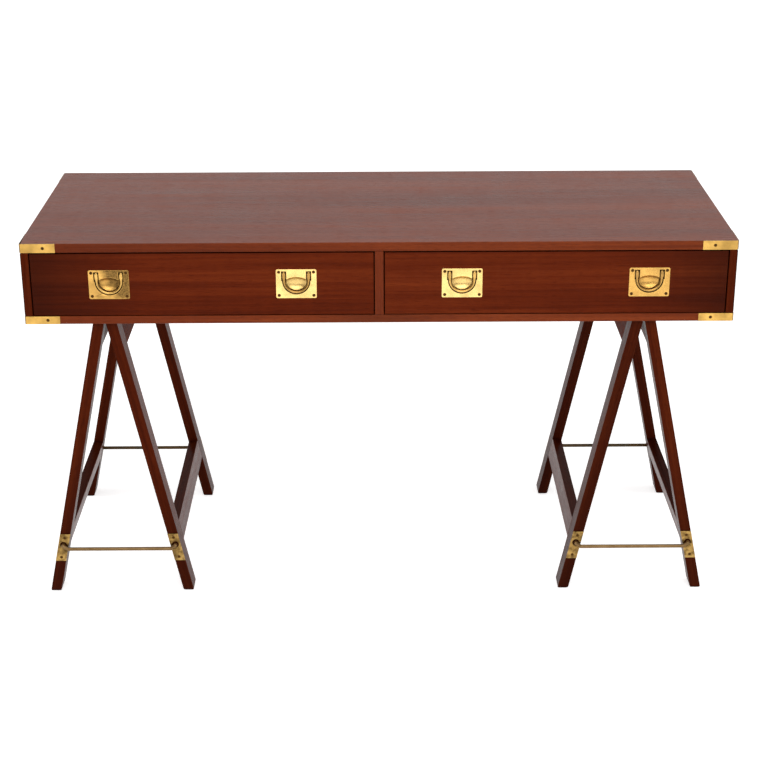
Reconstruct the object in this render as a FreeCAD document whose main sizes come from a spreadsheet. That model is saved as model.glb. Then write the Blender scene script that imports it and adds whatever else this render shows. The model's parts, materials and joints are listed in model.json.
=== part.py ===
import FreeCAD, Part
import os
import re

# A campaign desk: a shallow case with two drawers, standing on two folding trestles.
# X runs along the desk, Y from front to back and Z up.
# The origin is on the floor, under the middle of the case.

# Dovetails at each corner of a drawer's front.
TAIL_COUNT = 4

# Driving sizes, in millimetres and degrees.
SIZES = {
    # the case
    "desk_height": 760,
    "case_width": 1380,
    "case_depth": 528,
    "case_height": 163,
    "top_thickness": 18,
    "board": 16,
    "divider_thickness": 17,
    "back_thickness": 9,
    "back_inset": 6,
    # brass straps round the case's corners
    "strap_arm": 69,
    "strap_thickness": 1.6,
    "strap_proud": 0.4,
    "strap_screw_place": 45,
    # drawers
    "drawer_gap": 2,
    "front_gap_above": 2.8,
    "front_gap_below": 1,
    "drawer_lift": 0.3,
    "drawer_recess": 1.5,
    "drawer_back_gap": 33.5,
    "front_thickness": 19,
    "side_thickness": 11,
    "side_headroom": 7,
    "drawer_back_thickness": 11,
    "drawer_back_headroom": 13,
    "drawer_bottom_thickness": 5,
    "drawer_bottom_rise": 9,
    "groove_depth": 5,
    "tail_length": 12,
    "tail_height": 21,
    "tail_flare": 2,
    "stop_length": 40,
    "stop_width": 16,
    "stop_height": 7,
    "stop_place": 200,
    "stop_gap": 0.3,
    # flush drawer pulls
    "pull_place": 181,
    "pull_drop": 1.5,
    "plate_width": 78.5,
    "plate_height": 58.5,
    "plate_thickness": 2,
    "plate_corner": 3,
    "plate_proud": 0.5,
    "pan_width": 62,
    "pan_height": 52,
    "pan_depth": 13,
    "cup_half_width": 26,
    "cup_half_height": 15,
    "cup_depth": 11,
    "cup_drop": 1.3,
    "bail_radius": 2.6,
    "bail_arm_radius": 4.2,
    "bail_spread": 24,
    "bail_arm": 14.4,
    "bail_taper": 6,
    "bail_pivot_rise": 20.1,
    "bail_sink": 3,
    "bail_clearance": 0.9,
    "trunnion_radius": 1.5,
    "trunnion_length": 2,
    "trunnion_end_gap": 0.2,
    "pull_screw_across": 33.6,
    "pull_screw_up": 23.6,
    # countersunk screws
    "screw_head_radius": 3.3,
    "screw_head_depth": 1.5,
    "screw_radius": 1.8,
    "screw_length": 12,
    # trestles
    "left_trestle_inset": 152.5,
    "right_trestle_inset": 171.5,
    "trestle_setback": 15,
    "splay_angle": 12,
    "leg_thickness": 21.3,
    "leg_width": 43,
    "rail_drop": 62,
    "stretcher_height": 43,
    "stretcher_rise": 119,
    # hinges between a trestle's two frames
    "hinge_drop": 5,
    "hinge_place": 140,
    "hinge_length": 51,
    "leaf_drop": 34,
    "leaf_thickness": 1.5,
    "leaf_gap": 0.25,
    "barrel_radius": 3.25,
    "barrel_clearance": 0.3,
    "knuckle_gap": 0.3,
    "hinge_pin_radius": 1.5,
    "hinge_screw_place": 15,
    "hinge_screw_drop": 21,
    # stay plates and rods near the feet
    "stay_plate_height": 61,
    "stay_plate_thickness": 2,
    "stay_plate_rise": 102.3,
    "stay_hole_radius": 7,
    "stay_screw_place": 22.5,
    "hook_rise": 108.7,
    "hook_depth": 14,
    "hook_gap": 0.3,
    "rod_rise": 101.7,
    "rod_radius": 3.7,
    "rod_standoff": 5,
    "crank_run": 9.5,
    # fits and cuts
    "pin_clearance": 0.05,
    "overrun": 5,
}

# Places and sizes that follow from the driving ones.
PLACES = {
    "lean": "splay_angle * 1 deg",
    "half_width": "case_width / 2",
    "half_depth": "case_depth / 2",
    "underside": "desk_height - case_height",
    "case_floor": "underside + board",
    "case_ceiling": "desk_height - top_thickness",
    "back_front": "half_depth - back_inset - back_thickness",
    "opening_width": "half_width - board - divider_thickness / 2",
    "drawer_middle": "(divider_thickness + opening_width) / 2",
    "half_drawer": "opening_width / 2 - drawer_gap",
    "front_face": "drawer_recess - half_depth",
    "front_rear": "front_face + front_thickness",
    "drawer_rear": "back_front - drawer_back_gap",
    "side_bottom": "case_floor + drawer_lift",
    "panel_bottom": "side_bottom + drawer_bottom_rise",
    "panel_top": "panel_bottom + drawer_bottom_thickness",
    "inside_half": "half_drawer - side_thickness",
    "panel_half": "inside_half + groove_depth",
    "side_top": "case_ceiling - side_headroom",
    "tail_pitch": f"(side_top - side_bottom) / {TAIL_COUNT}",
    "pull_height": "underside + case_height / 2 - pull_drop",
    "plate_face": "front_face - plate_proud",
    "bail_depth": "plate_face + bail_sink",
    "pivot_height": "pull_height + bail_pivot_rise",
    "bend_height": "pivot_height - bail_arm",
    "groove_half": "bail_radius + bail_clearance",
    "arm_groove_half": "bail_arm_radius + bail_clearance",
    "trunnion_end": "bail_spread + bail_arm_radius + trunnion_length",
    "left_trestle_place": "half_width - left_trestle_inset",
    "right_trestle_place": "half_width - right_trestle_inset",
    "hinge_height": "underside - hinge_drop",
    "inner_face": "leaf_gap + leaf_thickness",
    "outer_face": "inner_face + leg_thickness",
    "leg_middle": "inner_face + leg_thickness / 2",
    "half_trestle": "half_depth - trestle_setback",
    "rail_end": "half_trestle - leg_width",
    "leg_reach": "(hinge_height + outer_face * sin(lean)) / cos(lean) + overrun",
    "stretcher_down": "(hinge_height + leg_middle * sin(lean) - stretcher_rise) / cos(lean)",
    "stay_plate_down": "(hinge_height + leg_middle * sin(lean) - stay_plate_rise) / cos(lean)",
    "hook_spread": "leg_middle / cos(lean) + (hinge_height - hook_rise) * tan(lean)",
    "plate_front": "half_trestle + stay_plate_thickness",
    "rod_plane": "plate_front + rod_standoff",
    "crank_drop": "hook_rise - rod_rise",
    "knuckle": "(hinge_length - 2 * knuckle_gap) / 3",
}

X_AXIS = FreeCAD.Vector(1, 0, 0)
Y_AXIS = FreeCAD.Vector(0, 1, 0)
LEFT, RIGHT = -1, 1
FRONT, REAR = -1, 1

doc = FreeCAD.newDocument("CampaignDesk")
sheet = doc.addObject("Spreadsheet::Sheet", "Sheet")
for row, (alias, value) in enumerate(SIZES.items(), start=1):
    sheet.set(f"A{row}", str(value))
    sheet.setAlias(f"A{row}", alias)
doc.recompute()

nodes = []


def text(expression):
    """Write an expression of named sizes and places with the sheet's own references."""
    def expand(match):
        word = match.group(0)
        if word in PLACES:
            return f"({text(PLACES[word])})"
        return f"Sheet.{word}" if word in SIZES else word
    return re.sub(r"[A-Za-z_]\w*", expand, expression)


def bind(thing, **expressions):
    """Bind a thing's properties to expressions of the named sizes."""
    for prop, expression in expressions.items():
        thing.setExpression(prop.replace("__", "."), text(expression))
    return thing


def place(thing, x="0", y="0", z="0", axis=None, angle="0"):
    """Put a thing at a place, turned by an angle about an axis."""
    if axis is not None:
        thing.Placement = FreeCAD.Placement(FreeCAD.Vector(), FreeCAD.Rotation(axis, 1))
        bind(thing, Placement__Rotation__Angle=angle)
    return bind(thing, Placement__Base__x=x, Placement__Base__y=y, Placement__Base__z=z)


def span(side, near, far):
    """The stretch between two distances from a middle plane, on one side of it."""
    return (near, far) if side > 0 else (f"-({far})", f"-({near})")


def shifted(middle, stretch):
    """A stretch moved along by a middle place."""
    return tuple(f"({middle}) + ({end})" for end in stretch)


def box(x, y, z):
    """A box that fills one stretch along each axis."""
    block = doc.addObject("Part::Box", "Block")
    lengths = [f"({high}) - ({low})" for low, high in (x, y, z)]
    bind(block, Length=lengths[0], Width=lengths[1], Height=lengths[2])
    return place(block, x[0], y[0], z[0])


def peg(x, z, radius, y):
    """A round bar along Y."""
    shaft = bind(doc.addObject("Part::Cylinder", "Peg"), Radius=radius, Height=f"({y[1]}) - ({y[0]})")
    return place(shaft, x, y[0], z, X_AXIS, "-90")


def crossbar(y, z, radius, x):
    """A round bar along X."""
    shaft = bind(doc.addObject("Part::Cylinder", "Crossbar"), Radius=radius, Height=f"({x[1]}) - ({x[0]})")
    return place(shaft, x[0], y, z, Y_AXIS, "90")


def upright(x, y, radius, z):
    """A round bar along Z."""
    shaft = bind(doc.addObject("Part::Cylinder", "Upright"), Radius=radius, Height=f"({z[1]}) - ({z[0]})")
    return place(shaft, x, y, z[0])


def ball(x, y, z, radius):
    """A round bend or end of a bar."""
    return place(bind(doc.addObject("Part::Sphere", "Ball"), Radius=radius), x, y, z)


def group(things):
    """Separate solids kept together."""
    compound = doc.addObject("Part::Compound", "Group")
    compound.Links = things
    return compound


def fuse(things):
    """Several forms joined into one solid."""
    joined = doc.addObject("Part::MultiFuse", "Joined")
    joined.Shapes = things
    return joined


def cut(base, tools):
    """A form with others taken out of it."""
    result = doc.addObject("Part::Cut", "Cut")
    result.Base = base
    result.Tool = tools[0] if len(tools) == 1 else group(tools)
    return result


def common(base, tool):
    """The part of a form that lies inside another."""
    result = doc.addObject("Part::Common", "Common")
    result.Base = base
    result.Tool = tool
    return result


def node(name, thing):
    """Keep a finished sub-part under its own name."""
    thing.Label = name
    nodes.append(thing)
    return thing


head = bind(doc.addObject("Part::Cone", "ScrewHead"),
            Radius1="screw_head_radius", Radius2="screw_radius", Height="screw_head_depth")
shank = bind(doc.addObject("Part::Cylinder", "ScrewShank"), Radius="screw_radius", Height="screw_length")


def screw(x, y, z, axis, angle):
    """A countersunk screw with its head's face at a place, turned from pointing up."""
    fastener = doc.addObject("Part::Fuse", "Screw")
    fastener.Base = head
    fastener.Tool = shank
    return place(fastener, x, y, z, axis, angle)


def screw_along_y(x, y, z, side):
    """A screw driven from the front or rear face towards the middle."""
    return screw(x, y, z, X_AXIS, f"{side} * 90")


def screw_along_x(x, y, z, side):
    """A screw driven from the left or right face towards the middle."""
    return screw(x, y, z, Y_AXIS, f"{-side} * 90")


def corner_strap(side_x, side_y, z):
    """An L-shaped strap round one corner of a board."""
    outer_x, outer_y = "half_width + strap_proud", "half_depth + strap_proud"
    far_x, far_y = "half_width + strap_proud - strap_arm", "half_depth + strap_proud - strap_arm"
    inner_x, inner_y = f"{outer_x} - strap_thickness", f"{outer_y} - strap_thickness"
    blank = box(span(side_x, far_x, outer_x), span(side_y, far_y, outer_y), z)
    inside = box(span(side_x, f"{far_x} - overrun", inner_x), span(side_y, f"{far_y} - overrun", inner_y),
                 (f"{z[0]} - overrun", f"{z[1]} + overrun"))
    middle = f"({z[0]} + {z[1]}) / 2"
    screw_x = f"{side_x} * (half_width - strap_screw_place)"
    screw_y = f"{side_y} * (half_depth - strap_screw_place)"
    screws = [
        screw_along_y(screw_x, f"{side_y} * ({outer_y})", middle, side_y),
        screw_along_x(f"{side_x} * ({outer_x})", screw_y, middle, side_x),
    ]
    return cut(cut(blank, [inside]), screws), screws


def case():
    """The case: its boards, corner straps, screws and drawer stops."""
    full_x, full_y = ("-half_width", "half_width"), ("-half_depth", "half_depth")
    between = ("case_floor", "case_ceiling")
    all_straps, all_screws = [], []
    top, bottom = ("case_ceiling", "desk_height"), ("underside", "case_floor")
    for name, z in (("top_board", top), ("bottom_board", bottom)):
        straps, screws = [], []
        for side_x in (LEFT, RIGHT):
            for side_y in (FRONT, REAR):
                strap, pair = corner_strap(side_x, side_y, z)
                straps.append(strap)
                screws.extend(pair)
        node(name, cut(box(full_x, full_y, z), straps + screws))
        all_straps.extend(straps)
        all_screws.extend(screws)
    node("corner_straps", group(all_straps))
    node("strap_screws", group(all_screws))
    for name, side in (("left_end", LEFT), ("right_end", RIGHT)):
        node(name, box(span(side, "half_width - board", "half_width"), full_y, between))
    inside = "half_width - board"
    node("back_panel", box((f"-({inside})", inside), ("back_front", "back_front + back_thickness"), between))
    half_divider = "divider_thickness / 2"
    node("centre_divider", box((f"-{half_divider}", half_divider), ("-half_depth", "back_front"), between))
    half_stop = "stop_length / 2"
    stops = []
    for drawer in (LEFT, RIGHT):
        for side in (LEFT, RIGHT):
            middle = f"{drawer} * drawer_middle + {side} * stop_place"
            stops.append(box(shifted(middle, (f"-{half_stop}", half_stop)),
                             ("front_rear + stop_gap", "front_rear + stop_gap + stop_width"),
                             ("case_floor", "case_floor + stop_height")))
    node("drawer_stops", group(stops))


def pull_blank(x):
    """A pull's plate with rounded corners and the pan behind it, before its hollows are cut."""
    across, up = "plate_width / 2", "plate_height / 2"
    depth = ("plate_face", "plate_face + plate_thickness")
    wide = box(shifted(x, (f"-{across}", across)), depth,
               (f"pull_height - {up} + plate_corner", f"pull_height + {up} - plate_corner"))
    tall = box(shifted(x, (f"plate_corner - {across}", f"{across} - plate_corner")), depth,
               (f"pull_height - {up}", f"pull_height + {up}"))
    corners = [peg(f"{x} + {sx} * ({across} - plate_corner)", f"pull_height + {sz} * ({up} - plate_corner)",
                   "plate_corner", depth) for sx in (LEFT, RIGHT) for sz in (-1, 1)]
    pan = box(shifted(x, ("-pan_width / 2", "pan_width / 2")), ("plate_face", "plate_face + pan_depth"),
              ("pull_height - pan_height / 2", "pull_height + pan_height / 2"))
    return fuse([wide, tall, pan] + corners)


def pull_hollows(x):
    """The finger cup, the bail's U-shaped groove and its pivot holes."""
    open_depth = ("plate_face - overrun", "bail_depth + arm_groove_half")
    hollows = []
    for side in (LEFT, RIGHT):
        arm = shifted(f"{x} + {side} * bail_spread", ("-arm_groove_half", "arm_groove_half"))
        hollows.append(box(arm, open_depth, ("bend_height", "pivot_height + arm_groove_half")))
        hole = shifted(x, span(side, "bail_spread", "trunnion_end + trunnion_end_gap"))
        hollows.append(crossbar("bail_depth", "pivot_height", "trunnion_radius + pin_clearance", hole))
    outer = peg(x, "bend_height", "bail_spread + groove_half", open_depth)
    inner = peg(x, "bend_height", "bail_spread - groove_half", open_depth)
    upper = box(shifted(x, ("-pan_width", "pan_width")), ("plate_face - pan_depth", "plate_face + pan_depth"),
                ("bend_height", "bend_height + pan_height"))
    hollows.append(cut(outer, [inner, upper]))
    cup = bind(doc.addObject("Part::Ellipsoid", "Cup"),
               Radius1="cup_half_height", Radius2="cup_half_width", Radius3="cup_depth")
    hollows.append(place(cup, x, "plate_face", "pull_height - cup_drop"))
    return hollows


def bail(x):
    """A U-shaped handle with stout arms and a thinner bend, which hangs from two pivots in its plate."""
    bend = bind(doc.addObject("Part::Torus", "Bend"), Radius1="bail_spread", Radius2="bail_radius")
    bend.Angle3 = 180
    forms = [place(bend, x, "bail_depth", "bend_height", X_AXIS, "-90")]
    for side in (LEFT, RIGHT):
        arm = f"{x} + {side} * bail_spread"
        taper = bind(doc.addObject("Part::Cone", "Taper"),
                     Radius1="bail_radius", Radius2="bail_arm_radius", Height="bail_taper")
        forms.append(place(taper, arm, "bail_depth", "bend_height"))
        stout = ("bend_height + bail_taper", "pivot_height")
        forms.append(upright(arm, "bail_depth", "bail_arm_radius", stout))
        forms.append(ball(arm, "bail_depth", "pivot_height", "bail_arm_radius"))
        forms.append(crossbar("bail_depth", "pivot_height", "trunnion_radius",
                              shifted(x, span(side, "bail_spread", "trunnion_end"))))
    return fuse(forms)


def drawer_side(middle, way):
    """A drawer's side wall with dovetails that widen into the drawer's front."""
    x = shifted(middle, span(way, "inside_half", "half_drawer"))
    forms = [box(x, ("front_rear", "drawer_rear"), ("side_bottom", "side_top"))]
    for count in range(TAIL_COUNT):
        z = f"side_bottom + ({count} + 1 / 2) * tail_pitch"
        tail = doc.addObject("Part::Wedge", "Tail")
        bind(tail, Xmin=x[0], X2min=x[0], Xmax=x[1], X2max=x[1],
             Ymin="front_rear - tail_length", Ymax="front_rear",
             Zmin=f"{z} - tail_height / 2", Zmax=f"{z} + tail_height / 2",
             Z2min=f"{z} - tail_height / 2 + tail_flare", Z2max=f"{z} + tail_height / 2 - tail_flare")
        forms.append(tail)
    return fuse(forms)


def drawer(name, side):
    """One drawer with its two pulls."""
    middle = f"{side} * drawer_middle"
    panel_z = ("panel_bottom", "panel_top")
    full_x = shifted(middle, ("-half_drawer", "half_drawer"))
    panel_x = shifted(middle, ("-panel_half", "panel_half"))
    panel = box(panel_x, ("front_rear - groove_depth", "drawer_rear"), panel_z)
    front = box(full_x, ("front_face", "front_rear"),
                ("case_floor + front_gap_below", "case_ceiling - front_gap_above"))
    blanks, plates, screws = [], [], []
    for pull_name, pull_side in (("left", LEFT), ("right", RIGHT)):
        x = f"{middle} + {pull_side} * pull_place"
        set_of_four = [screw_along_y(f"{x} + {sx} * pull_screw_across", "plate_face",
                                     f"pull_height + {sz} * pull_screw_up", FRONT)
                       for sx in (LEFT, RIGHT) for sz in (-1, 1)]
        blank = pull_blank(x)
        plates.append(cut(blank, [fuse(pull_hollows(x))] + set_of_four))
        blanks.append(blank)
        screws.extend(set_of_four)
        node(f"{name}_drawer_{pull_name}_bail", bail(x))
    walls = {"left": drawer_side(middle, LEFT), "right": drawer_side(middle, RIGHT)}
    node(f"{name}_drawer_front", cut(front, blanks + screws + list(walls.values()) + [panel]))
    node(f"{name}_drawer_pull_plates", group(plates))
    node(f"{name}_drawer_pull_screws", group(screws))
    for side_name, wall in walls.items():
        node(f"{name}_drawer_{side_name}_side", cut(wall, [panel]))
    node(f"{name}_drawer_back", box(shifted(middle, ("-inside_half", "inside_half")),
                                    ("drawer_rear - drawer_back_thickness", "drawer_rear"),
                                    ("panel_top", "case_ceiling - drawer_back_headroom")))
    node(f"{name}_drawer_bottom", panel)


def frame_place(middle, lean_side, across, down):
    """The X and Z of a point in a leaning frame: across its thickness and down from the hinge line."""
    x = f"{middle} + {lean_side} * (({across}) * cos(lean) + ({down}) * sin(lean))"
    z = f"hinge_height + ({across}) * sin(lean) - ({down}) * cos(lean)"
    return x, z


def bar(middle, lean_side, across, y, down):
    """A box in a leaning frame: across its thickness, along Y, and down the frame from the hinge line."""
    block = doc.addObject("Part::Box", "Bar")
    lengths = [f"({high}) - ({low})" for low, high in (across, y, down)]
    bind(block, Length=lengths[0], Width=lengths[1], Height=lengths[2])
    x, z = frame_place(middle, lean_side, across[0] if lean_side > 0 else across[1], down[1])
    return place(block, x, y[0], z, Y_AXIS, f"{-lean_side} * splay_angle")


def level_cut(form, middle, z):
    """The part of a leaning form that lies between two heights."""
    slab = box(shifted(middle, ("-desk_height", "desk_height")), ("-case_depth", "case_depth"), z)
    return common(form, slab)


def hinge_span(side, first, last):
    """The stretch of one of a trestle's two hinges between two counts of knuckles from its front end."""
    start = f"{side} * hinge_place - hinge_length / 2"
    pitch = "(knuckle + knuckle_gap)"
    return f"{start} + {first} * {pitch}", f"{start} + {last} * {pitch} - knuckle_gap"


def hinge_leaf(middle, lean_side, side, kept, cleared, screws):
    """A hinge's leaf with its own knuckles, cleared round the other leaf's."""
    length = hinge_span(side, 0, 3)
    forms = [bar(middle, lean_side, ("leaf_gap", "inner_face"), length, ("0", "leaf_drop"))]
    forms += [peg(middle, "hinge_height", "barrel_radius", hinge_span(side, k, k + 1)) for k in kept]
    tools = [peg(middle, "hinge_height", "hinge_pin_radius + pin_clearance", length)]
    for k in cleared:
        low, high = hinge_span(side, k, k + 1)
        tools.append(peg(middle, "hinge_height", "barrel_radius + barrel_clearance",
                         (f"{low} - knuckle_gap", f"{high} + knuckle_gap")))
    return cut(fuse(forms), tools + screws)


def frame(name, middle, lean_side, is_outer):
    """One of a trestle's two leaning frames, with its hinge leaves, stay plates and fasteners."""
    thickness, standing = ("inner_face", "outer_face"), ("0", "underside")
    hinge_screws, leaves, notches, pins = [], [], [], []
    kept, cleared = ((0, 2), (1,)) if is_outer else ((1,), (0, 2))
    for side in (FRONT, REAR):
        pair = []
        for way in (FRONT, REAR):
            x, z = frame_place(middle, lean_side, "leaf_gap", "hinge_screw_drop")
            pair.append(screw(x, f"{side} * hinge_place + {way} * hinge_screw_place", z, Y_AXIS,
                              f"{lean_side} * (90 - splay_angle)"))
        leaves.append(hinge_leaf(middle, lean_side, side, kept, cleared, pair))
        low, high = hinge_span(side, 0, 3)
        notches.append(peg(middle, "hinge_height", "barrel_radius + barrel_clearance",
                           (f"{low} - knuckle_gap", f"{high} + knuckle_gap")))
        pins.append(peg(middle, "hinge_height", "hinge_pin_radius", (low, high)))
        hinge_screws.extend(pair)
    node(f"{name}_hinge_leaves", group(leaves))

    hook_x = f"{middle} + {lean_side} * hook_spread"
    plate_heights = shifted("stay_plate_rise", ("-stay_plate_height / 2", "stay_plate_height / 2"))
    plates, plate_screws = [], []
    for leg_name, side in (("front", FRONT), ("rear", REAR)):
        pair = []
        for way in (-1, 1):
            x, z = frame_place(middle, lean_side, "leg_middle", f"stay_plate_down + {way} * stay_screw_place")
            pair.append(screw_along_y(x, f"{side} * plate_front", z, side))
        plate = bar(middle, lean_side, thickness, span(side, "half_trestle", "plate_front"),
                    ("stay_plate_down - stay_plate_height", "stay_plate_down + stay_plate_height"))
        opening = peg(hook_x, "hook_rise", "stay_hole_radius",
                      span(side, "half_trestle - overrun", "plate_front + overrun"))
        plates.append(cut(level_cut(plate, middle, plate_heights), [opening] + pair))
        socket = peg(hook_x, "hook_rise", "rod_radius + pin_clearance",
                     span(side, "half_trestle - hook_depth - hook_gap", "half_trestle + overrun"))
        leg = bar(middle, lean_side, thickness, span(side, "half_trestle - leg_width", "half_trestle"),
                  ("-leg_width", "leg_reach"))
        node(f"{name}_{leg_name}_leg", cut(level_cut(leg, middle, standing), [socket] + pair))
        plate_screws.extend(pair)
    node(f"{name}_stay_plates", group(plates))

    between = ("-rail_end", "rail_end")
    rail = bar(middle, lean_side, thickness, between, ("-leg_width", "rail_drop"))
    node(f"{name}_top_rail", cut(level_cut(rail, middle, standing), notches + hinge_screws))
    stretcher_edges = shifted("stretcher_down", ("-stretcher_height / 2", "stretcher_height / 2"))
    node(f"{name}_stretcher", bar(middle, lean_side, thickness, between, stretcher_edges))
    node(f"{name}_fasteners", group(hinge_screws + plate_screws + (pins if is_outer else [])))


def stay_rod(name, middle, outward, side):
    """A rod with cranked ends: one hooked into the outer leg, the other set before the inner plate's hole."""
    y = f"{side} * rod_plane"
    hook_x = f"{middle} + {outward} * hook_spread"
    free_x = f"{middle} - {outward} * hook_spread"
    inward = -outward
    low_hook = f"{hook_x} + {inward} * crank_run"
    low_free = f"{free_x} - {inward} * crank_run"
    ends = (low_hook, low_free) if inward > 0 else (low_free, low_hook)
    forms = [
        peg(hook_x, "hook_rise", "rod_radius", span(side, "half_trestle - hook_depth", "rod_plane")),
        peg(free_x, "hook_rise", "rod_radius", span(side, "plate_front + hook_gap", "rod_plane")),
        crossbar(y, "rod_rise", "rod_radius", ends),
    ]
    for x, low_x, way in ((hook_x, low_hook, inward), (free_x, low_free, -inward)):
        crank = bind(doc.addObject("Part::Cylinder", "Crank"), Radius="rod_radius",
                     Height="sqrt(crank_run * crank_run + crank_drop * crank_drop)")
        slope = f"{way} * (90 deg + atan(crank_drop / crank_run))"
        forms.append(place(crank, x, y, "hook_rise", Y_AXIS, slope))
        forms.append(ball(x, y, "hook_rise", "rod_radius"))
        forms.append(ball(low_x, y, "rod_rise", "rod_radius"))
    node(name, fuse(forms))


def trestle(name, middle, outward):
    """A trestle of two hinged frames and two stay rods."""
    frame(f"{name}_outer", middle, outward, True)
    frame(f"{name}_inner", middle, -outward, False)
    for end, side in (("front", FRONT), ("rear", REAR)):
        stay_rod(f"{name}_{end}_stay_rod", middle, outward, side)


case()
drawer("left", LEFT)
drawer("right", RIGHT)
trestle("left", "-left_trestle_place", LEFT)
trestle("right", "right_trestle_place", RIGHT)
doc.recompute()

for thing in doc.Objects:
    if "Invalid" in thing.State or "Error" in thing.State:
        raise RuntimeError(f"{thing.Label} failed: {thing.State}")
for thing in nodes:
    if thing.Shape.isNull() or not thing.Shape.isValid() or not thing.Shape.Solids:
        raise RuntimeError(f"{thing.Label} has no valid shape")

os.makedirs("parts", exist_ok=True)
for thing in nodes:
    thing.Shape.exportStep(f"parts/{thing.Label}.step")
    print(thing.Label, len(thing.Shape.Solids), round(thing.Shape.Volume))
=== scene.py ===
import json
import math

import bmesh
import bpy
import numpy as np
from mathutils import Matrix, Vector


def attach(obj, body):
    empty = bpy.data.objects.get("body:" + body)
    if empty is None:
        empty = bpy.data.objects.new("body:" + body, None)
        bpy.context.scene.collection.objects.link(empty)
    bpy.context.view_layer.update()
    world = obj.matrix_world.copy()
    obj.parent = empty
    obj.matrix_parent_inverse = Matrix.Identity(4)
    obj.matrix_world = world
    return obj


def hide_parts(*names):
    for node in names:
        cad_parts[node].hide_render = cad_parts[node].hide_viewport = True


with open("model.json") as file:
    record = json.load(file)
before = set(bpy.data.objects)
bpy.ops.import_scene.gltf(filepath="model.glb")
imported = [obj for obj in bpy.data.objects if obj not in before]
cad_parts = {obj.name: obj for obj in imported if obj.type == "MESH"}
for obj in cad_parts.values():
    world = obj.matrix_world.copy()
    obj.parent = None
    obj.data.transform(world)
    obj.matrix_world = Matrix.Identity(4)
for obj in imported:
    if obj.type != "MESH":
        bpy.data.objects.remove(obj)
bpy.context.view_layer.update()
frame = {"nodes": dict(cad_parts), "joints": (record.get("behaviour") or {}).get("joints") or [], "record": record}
nodes = frame["nodes"]
bodies = frame["record"]["behaviour"]["bodies"]
body_of_node = {node: body for body, members in bodies.items() for node in members}
joints = {joint["name"]: joint for joint in frame["joints"]}

# The photograph's view: a pinhole camera whose place is in metres and whose turns are in degrees.
IMAGE_SIZE = 758
FOCAL_PIXELS = 1706.95
SENSOR_WIDTH = 36.0
CAMERA_PLACE = Vector((-0.0094, -3.3958, 1.7259))
CAMERA_YAW = 0.150
CAMERA_PITCH = -21.717
CAMERA_ROLL = -0.2365

# Points nearer than the weld, in metres, are joined, and so are faces that turn by less than the flat angle.
# Edges that turn by more than the sharp angle are rounded, or stay crisp. Both angles are in degrees.
WELD = 0.00001
FLAT_ANGLE = 0.4
SHARP_ANGLE = 32

# How far edges are rounded, in metres, in how many steps, and how full their curve is.
WOOD_EASE = 0.0011
CORNER_EASE = 0.004
FOOT_EASE = 0.005
LINING_EASE = 0.0008
BRASS_EASE = 0.0004
EASE_STEPS = 4
ROUND_SHARE = 0.5

# A face looks along an axis where more than this share of its normal points that way.
FACING_SHARE = 0.9

# The slotted screws and the hinge pins, in metres. A fastener longer than the longest screw is a pin, and
# each slot is turned by so many degrees from the one before it.
HEAD_RADIUS = 0.00325
HEAD_DEPTH = 0.001
SHANK_RADIUS = 0.0017
SCREW_SINK = 0.00015
LONGEST_SCREW = 0.02
SLOT_HALF_WIDTH = 0.0004
SLOT_DEPTH = 0.0006
SLOT_TURN = 137.5
SLOT_STEPS = 3
ROUND_SIDES = 20
PIN_CHAMFER_SHARE = 0.25

# Wood figure. Each scale gives cycles per metre along the grain and across it, each detail says how fine the
# noise is, and each range is the part of the noise that shows.
BAND_SCALE = (0.8, 17, 17)
STREAK_SCALE = (2.2, 150, 150)
FIBRE_SCALE = (16, 1300, 1300)
PORE_SCALE = (60, 1700, 1700)
MOTTLE_SCALE = (26, 9, 9)
WANDER_SCALE = (2.5, 6, 6)
PLAIN_DETAIL = 2.0
BAND_DETAIL = 3.0
STREAK_DETAIL = 4.0
PORE_DETAIL = 0.0
BAND_RANGE = (0.30, 0.70)
PORE_RANGE = (0.60, 0.74)

# How far the grain wanders and how far one board's grain may lie from another's, in metres, and how much
# their tones differ.
WANDER = 0.006
BOARD_SHIFT = (7.3, 3.1, 5.7)
BOARD_LEVELS = (0.93, 1.07)

# How much each layer of the figure counts in the wood's tone, roughness and relief. The relief is in metres.
TONE_SHARES = {"bands": 0.34, "streaks": 0.34, "fibres": 0.16, "mottle": 0.16}
WOOD_ROUGH_SHARES = {"streaks": 0.10, "pores": 0.16, "mottle": 0.10}
RELIEF_SHARES = {"fibres": 0.6, "pores": -0.8}
POLISHED_ROUGHNESS = 0.20
WAXED_ROUGHNESS = 0.45
WOOD_RELIEF = 0.0004
WOOD_RELIEF_SHARE = 0.12

# Wear at the wood's edges, which on the end boards is dark painted shade, and painted shade near the wood's
# corners and gaps. A reach is in metres, and a range runs from where an effect starts to where it is full.
EDGE_SAMPLES = 4
CORNER_SAMPLES = 6
EDGE_RANGE = (0.99, 0.80)
EDGE_TONE_REACH = 0.0022
EDGE_TONE_BAND_RANGE = (0.2, 0.9)
EDGE_TONE_SHARES = (0.08, 0.4)
DARK_PORE_SHARE = 0.55
# Painted shade near corners and gaps: its reach, its range and its strength.
CORNER_SHADE_REACH = 0.006
CORNER_SHADE_RANGE = (0.95, 0.60)
CORNER_SHADE_SHARE = 0.7

# Brass figure, with scales in cycles per metre, and details and ranges as for the wood.
PATCH_SCALE = (38, 38, 38)
SMALL_PATCH_SCALE = (110, 110, 110)
SPOT_SCALE = (330, 330, 330)
SCRATCH_SCALE = (90, 1500, 1500)
PATCH_DETAIL = 3.0
SCRATCH_DETAIL = 1.0
PATCH_RANGE = (0.35, 0.70)
SPOT_RANGE = (0.46, 0.66)
PATCH_LEVELS = (1.08, 0.86)
SPOT_SHARES = (0.72, 1.0)
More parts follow.
